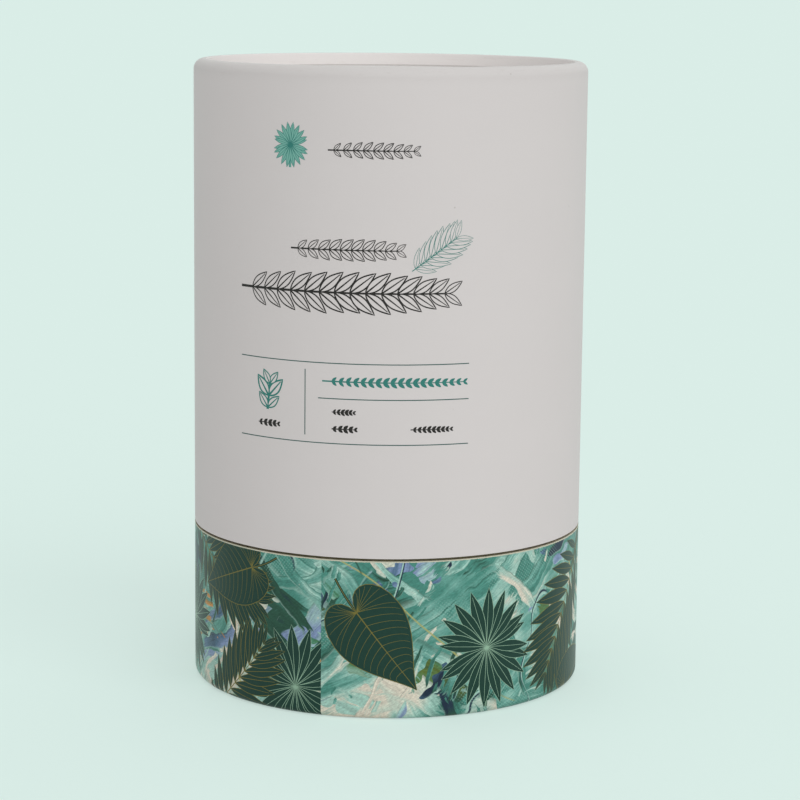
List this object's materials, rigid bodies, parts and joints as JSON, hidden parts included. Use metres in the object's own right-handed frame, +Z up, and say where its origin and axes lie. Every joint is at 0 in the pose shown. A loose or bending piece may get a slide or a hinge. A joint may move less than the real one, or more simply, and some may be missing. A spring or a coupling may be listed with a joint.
{
  "type": "cylindrical gift tube box",
  "caption": "Round rolled-edge paper tube box: a tall lift-off lid slides over a neck glued into a short printed base.",
  "frame": {"origin": "centre of the foot, on the floor", "axes": "+Z up the axis of the tube, towards the lid; -Y is the front in the picture; +X to the right"},
  "size_m": [0.114, 0.114, 0.181],
  "materials": {
    "white_print": "matte coated print on art paper",
    "leaf_print": "printed art paper with a soft matt laminate",
    "grey_board": "raw wound board",
    "kraft": "uncoated kraft",
    "lining": "uncoated lining paper"
  },
  "bodies": {
    "base": {"base_tube": "grey_board", "base_wrap": "leaf_print", "base_disc": "grey_board", "base_disc_facing": "white_print", "floor_lining": "lining", "neck_tube": "grey_board", "neck_wrap": "kraft", "neck_liner": "lining"},
    "lid": {"lid_tube": "grey_board", "lid_wrap": "white_print", "lid_liner": "lining", "lid_disc": "grey_board", "lid_disc_facing": "white_print", "lid_disc_lining": "lining"}
  },
  "joints": [
    {"name": "lid_lift", "type": "slide", "parent": "base", "child": "lid", "axis": [0, 0, 1], "range_m": [0, 0.2]}
  ]
}
